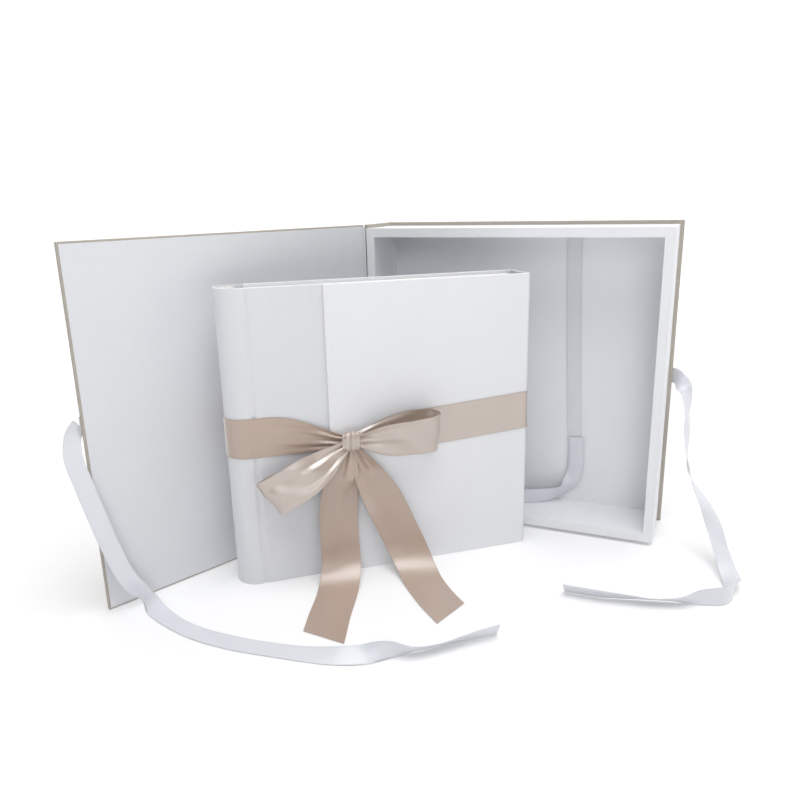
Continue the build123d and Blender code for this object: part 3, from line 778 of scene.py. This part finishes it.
def tie_from(name, stations, body, node, lift=cupped):
    """One narrow ribbon, with the body that it rides on and the solid that it replaces."""
    grid, length = ribbon_surface(stations, columns=10, lift=lift)
    made = sheet_piece(name, grid, RIBBON_THICK / MM, white_tie, NARROW / MM, length)
    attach(made, body)
    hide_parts(node)
    print(name, "length", round(length, 3))


# %% The lid's tie
hung = [((329.0, 4.7, 177.0), (0, 0, 1)), ((334.0, 3.0, 173.0), (0.3, 0.0, 1.0)),
        ((340.0, -2.0, 156.0), (1.0, 0.0, 0.35)), ((337.0, -7.0, 130.0), (1.0, 0.0, 0.1)),
        ((331.0, -10.0, 100.0), (1.0, 0.0, -0.2)), ((322.0, -11.0, 62.0), (1.0, 0.0, -0.3)),
        ((311.0, -13.0, 28.0), (1.0, 0.0, -0.4))]
laid = [((-264.0, -350.5, 8.2), (0.8, 0.1, 0.6)), ((-246.0, -359.0, 3.2), (0.3, 0.8, 0.3)),
        ((-219.0, -368.0, 1.2), (-0.2, 0.97, 0.05)), ((-191.0, -374.0, 1.2), (-0.3, 0.95, 0.05)),
        ((-155.0, -375.5, 1.6), (-0.2, 0.97, 0.1)), ((-112.0, -371.0, 1.6), (-0.4, 0.9, 0.1)),
        ((-83.0, -367.0, 2.4), (-0.4, 0.88, 0.2)), ((-58.5, -362.5, 4.4), (-0.4, 0.8, 0.45)),
        ((-39.0, -355.0, 5.6), (-0.4, 0.7, 0.6)), ((-22.0, -346.5, 8.2), (-0.15, 0.1, 1.0)),
        ((-4.0, -337.0, 7.0), (0.2, -0.6, 0.78)), ((14.5, -321.0, 6.0), (0.3, -0.7, 0.65)),
        ((28.5, -307.8, 6.6), (0.1, -0.7, 0.7)), ((42.0, -296.5, 7.6), (0.0, -0.6, 0.78)),
        ((54.5, -285.5, 7.8), (-0.2, -0.65, 0.72))]
tie_from("lid_ribbon_tie", tie_stations(on_lid, hung) + tie_stations(on_table, laid), "lid_ribbon",
         "lid_tie")
anchor = [((along, 4.7, 177.0), UPRIGHT, NARROW) for along in (300.0, 313.0, 328.6)]
root = lay("lid_ribbon_root", on_lid, anchor, white_tie, "white_ribbon", columns=6)
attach(root, "lid")
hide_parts("lid_tie_anchor")

# %% [markdown]
# ## The tray's tie
# The other tie is glued to the back of the tray, turns the corner and falls to the table, where it
# curls forward. It doesn't move with any joint, so it is one piece with the case.

# %% The tray's tie
tray_route = [((140.0, 2.45, 169.0), (0, 0, 1)), ((156.0, 2.45, 169.0), (0, 0, 1)),
              ((164.8, 2.3, 169.0), (0, 0, 1)), ((168.0, -0.15, 168.5), (0.0, 0.1, 1.0)),
              ((173.5, -9.0, 165.0), (0.0, 0.5, 0.8)), ((179.8, -19.0, 155.0), (0.1, 0.85, 0.5)),
              ((182.4, -28.5, 139.0), (0.2, 0.95, 0.0)), ((184.0, -36.0, 120.0), (0.3, 0.93, -0.2)),
              ((185.6, -42.5, 101.0), (0.1, 0.96, -0.25)),
              ((188.5, -50.0, 84.5), (-0.2, 0.95, -0.15)),
              ((196.0, -58.5, 70.0), (0.1, 0.98, -0.1)), ((207.0, -68.5, 55.0), (0.4, 0.9, 0.1)),
              ((216.6, -80.5, 38.5), (0.75, 0.62, 0.2)), ((224.7, -96.0, 21.5), (0.7, 0.7, 0.15)),
              ((231.7, -113.0, 10.0), (0.7, 0.7, 0.2)), ((236.5, -132.0, 6.0), (0.8, 0.3, 0.5)),
              ((236.5, -149.0, 8.0), (0.1, 0.4, 0.9)), ((228.5, -163.0, 8.4), (0.1, 0.45, 0.88)),
              ((211.5, -172.0, 8.2), (0.1, 0.1, 1.0)), ((192.0, -180.5, 6.6), (0.1, -0.7, 0.7)),
              ((169.0, -187.0, 5.6), (0.0, -0.83, 0.55)), ((143.5, -193.0, 6.6), (0.1, -0.7, 0.7)),
              ((125.5, -196.5, 7.0), (0.1, -0.62, 0.77)), ((108.5, -197.5, 7.0), (0.1, -0.6, 0.78)),
              ((92.0, -197.5, 7.0), (0.1, -0.6, 0.78))]
tie_from("tray_ribbon_tie", tie_stations(on_table, tray_route), "case", "tray_tie")

# %% [markdown]
# ## The lifting ribbon
# A third narrow ribbon lifts the book out of the tray. It lies down the back of the tray, bends
# forward at the foot and folds back on itself. It is laid a hair off the lining, like the band.

# %% The lifting ribbon
LIFT_BACK = -1.75 - 6.4 - 0.6 - 0.7  # in front of the tray's base board and its lining
LIFT_FOOT = 4.0 + 9.5 + 8.0 + 0.6  # half a width above the tray's lower wall
lift_plan = [(56.6, 0, 316.9, LEVEL), (58.5, 0, 250.0, LEVEL), (61.5, 0, 180.0, LEVEL),
             (64.5, 0, 110.0, LEVEL), (66.0, 0, 62.0, (1, 0, 0.05)), (63.0, 1, 40.0, (1, 0, 0.4)),
             (52.0, 4, LIFT_FOOT + 4, (0.6, 0, 1)), (36.0, 9, LIFT_FOOT, (0.1, 0, 1)),
             (14.0, 16, LIFT_FOOT, UPRIGHT), (-4.0, 22, LIFT_FOOT, UPRIGHT),
             (-10.0, 28, LIFT_FOOT, UPRIGHT), (-2.0, 33, LIFT_FOOT, UPRIGHT),
             (16.0, 26, LIFT_FOOT, UPRIGHT), (38.0, 16, LIFT_FOOT + 1, (0.15, 0, 1)),
             (55.5, 8, LIFT_FOOT + 7, (0.7, 0, 1)), (66.5, 4, 46.0, (1, 0, 0.4)),
             (69.0, 2.5, 68.0, (1, 0, 0.05)), (68.5, 2, 92.0, LEVEL)]
lift_route = [((x, LIFT_BACK - forward, z), across) for x, forward, z, across in lift_plan]
tie_from("lifting_ribbon", tie_stations(on_table, lift_route), "case", "lift_ribbon",
         lift=None)

# %% [markdown]
# ## The book's cloth joints
# Where two boards meet, only cloth joins them, and it has to bend as the joint opens. Solid cloth
# would tear or cut into a board. These strips are made like ribbons that stand upright. The front
# and the rear groove have the same profile.


# %% The book's cloth joints
def joint_strip(name, place, plan, middle, tall, finish, slot, node, thickness):
    """An upright strip of cloth along a plan of places, from above."""
    route = [((a, b, middle), UPRIGHT, tall) for a, b in plan]
    made = lay(name, place, route, finish, slot, thickness, columns=24, step=0.8)
    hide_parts(node)
    return made


def book_joint(name, plan, tall, node):
    return joint_strip(name, on_book, plan, 143.0, tall, white_on_book_shaded, "white_cloth", node,
                       CLOTH_THICK)


BOARD_TALL = 285.4
GROOVE_TALL = 285.6
groove = [(-6.8, 0.16), (-5.6, -0.02), (-4.4, -0.12), (-3.1, -0.06), (-2.0, 0.5), (-0.6, 1.15),
          (0.8, 1.3), (2.0, 0.95), (2.9, 0.2), (3.6, -0.12), (4.8, -0.10), (6.0, 0.0), (7.2, 0.16)]
front_groove = book_joint("front_groove", groove, GROOVE_TALL, "front_groove_cloth")
on_book(-1.5, 1.2, 0)
on_book(3.0, 1.2, 0)
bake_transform(front_groove)
rear_plan = [(u, 38.0 - y) for u, y in groove]
rear_groove = book_joint("rear_groove", rear_plan, GROOVE_TALL, "rear_groove_cloth")
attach(rear_groove, "book")

# %% [markdown]
# ## The fore edge's cloth joints
# The fore edge board is joined to the flap in front and to the rear cover behind. Only the front
# joint moves. The other strip goes round its corner and rides with the book.

# %% The fore edge's cloth joints
flap_plan = [(273.0, -3.12), (273.7, -3.0), (274.08, -2.3), (274.12, 1.0), (274.12, 9.0)]
flap_joint = book_joint("flap_joint", flap_plan, BOARD_TALL, "flap_joint_cloth")
on_book(274.1, 1.2, 0)
on_book(274.1, -1.4, 0)
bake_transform(flap_joint)
rear_plan = [(274.12, 26.0), (274.12, 36.5), (273.7, 37.9), (272.6, 38.12), (270.0, 38.12)]
rear_joint = book_joint("rear_joint", rear_plan, BOARD_TALL, "fore_edge_rear_cloth")
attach(rear_joint, "book")

# %% [markdown]
# ## The case's cloth joints
# The lid has no hinge of metal. The taupe linen runs from the spine board to the lid and bends
# between them, and the same cloth turns the corner to the back board. The hinge's plan starts on
# the case and ends in the lid's own frame, so it meets both at the angle where the lid stands.

# %% The case's cloth hinge
CASE_MIDDLE, CASE_TALL = 165.5, 325.0
LID_OUT = 0.6 + 3.5 + 0.5  # past the lid's lining and its board
hinge_plan = [on_table(-164.0, -46.5, CASE_MIDDLE), on_table(-164.0, -66.5, CASE_MIDDLE),
              on_table(-164.3, -69.5, CASE_MIDDLE), on_lid(3.2, LID_OUT + 0.2, CASE_MIDDLE),
              on_lid(6.0, LID_OUT, CASE_MIDDLE), on_lid(24.5, LID_OUT, CASE_MIDDLE)]
hinge_stations = [(place, Vector(UPRIGHT), CASE_TALL) for place in hinge_plan]
hinge_grid, hinge_length = ribbon_surface(hinge_stations, step=1.0, columns=30)
hinge = sheet_piece("cloth_hinge", hinge_grid, RIBBON_THICK / MM, linen_on_case, CASE_TALL / MM,
                    hinge_length)
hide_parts("hinge_cloth")
tuple(on_lid(5.0, 4.0, 165.0))
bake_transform(hinge)
back_plan = [(-163.95, -20.2), (-163.95, 1.0), (-163.7, 1.85), (-162.9, 2.2), (-142.0, 2.2)]
back_joint = joint_strip("back_joint", on_table, back_plan, CASE_MIDDLE, CASE_TALL, linen_on_case,
                         "taupe_cloth", "back_joint_cloth", thickness=0.3)
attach(back_joint, "case")
print("hinge length", round(hinge_length, 4))

# %% [markdown]
# ## The table
# A white table runs up into a white room with no edge between them. A curved backdrop would do it,
# but its bend throws a soft band of shade. Here the table is flat, and with distance it takes on a
# glow of its own, so that only the shadows near the object are left.

# %% The table
surface = Finish("table", Roughness=0.9)
where = surface.node("ShaderNodeTexCoord", out="Object")
surface.feed("Base Color", surface.blend(surface.noise(where, 2.0), (0.84,) * 3, (0.86,) * 3))
reach = surface.node("ShaderNodeVectorMath", {"operation": "LENGTH"}, {0: where}, out=1)
glow = surface.node("ShaderNodeMapRange", {"interpolation_type": "SMOOTHSTEP"},
                    {"Value": reach, "From Min": 0.4, "From Max": 1.6,
                     "To Min": 0.11, "To Max": 0.5})
grey_glow = surface.node("ShaderNodeCombineXYZ", {}, {0: glow, 1: glow, 2: glow})
surface.feed("Emission Color", grey_glow)
surface.shader.inputs["Emission Strength"].default_value = 1.0
mesh = bpy.data.meshes.new("table")
mesh.from_pydata([(-4, -4, 0), (4, -4, 0), (4, 6, 0), (-4, 6, 0)], [], [(0, 1, 2, 3)])
mesh.materials.append(surface.material)
table = bpy.data.objects.new("table", mesh)
bpy.context.scene.collection.objects.link(table)
print("table", surface.material.name)

# %% [markdown]
# ## Light and air
# A large soft window behind the viewer and to the right gives the cloth its direction. A larger
# light overhead fills the tops, and a pale room all round, brightest behind the case, keeps the
# whites clean. One hard lamp would be simpler, but it cuts black shadows into the tray.


# %% Light and air
def soft_light(name, place, aim, size, power, colour):
    """A square light of so many metres and watts, turned to where it aims."""
    light = bpy.data.objects.new(name, bpy.data.lights.new(name, "AREA"))
    light.data.shape, light.data.size = "SQUARE", size
    light.data.energy, light.data.color = power, colour
    light.location = place
    light.rotation_euler = (Vector(aim) - Vector(place)).to_track_quat("-Z", "Y").to_euler()
    bpy.context.scene.collection.objects.link(light)


soft_light("window", (1.1, -2.9, 1.35), (0, -0.15, 0.12), 1.2, 16.5, (0.96, 0.98, 1.0))
soft_light("overhead", (0.3, -0.6, 2.1), (0, -0.15, 0.1), 1.5, 30.5, (0.99, 0.99, 1.0))
world = bpy.data.worlds.new("room")
world.use_nodes = True
room = Net(world.node_tree)
depth_of_room = room.axes(room.node("ShaderNodeTexCoord", out="Generated"))[1]
behind = room.node("ShaderNodeMapRange", {"interpolation_type": "SMOOTHSTEP"},
                   {"Value": depth_of_room, "From Min": -0.1, "From Max": 0.5,
                    "To Min": 0.0, "To Max": 0.96})
background = room.tree.nodes["Background"]
room.tree.links.new((behind + 0.21).socket, background.inputs["Strength"])
background.inputs["Color"].default_value = (1, 1, 1, 1)
bpy.context.scene.world = world
bpy.context.scene.view_settings.view_transform = "Standard"
print("lights", len(bpy.data.lights))
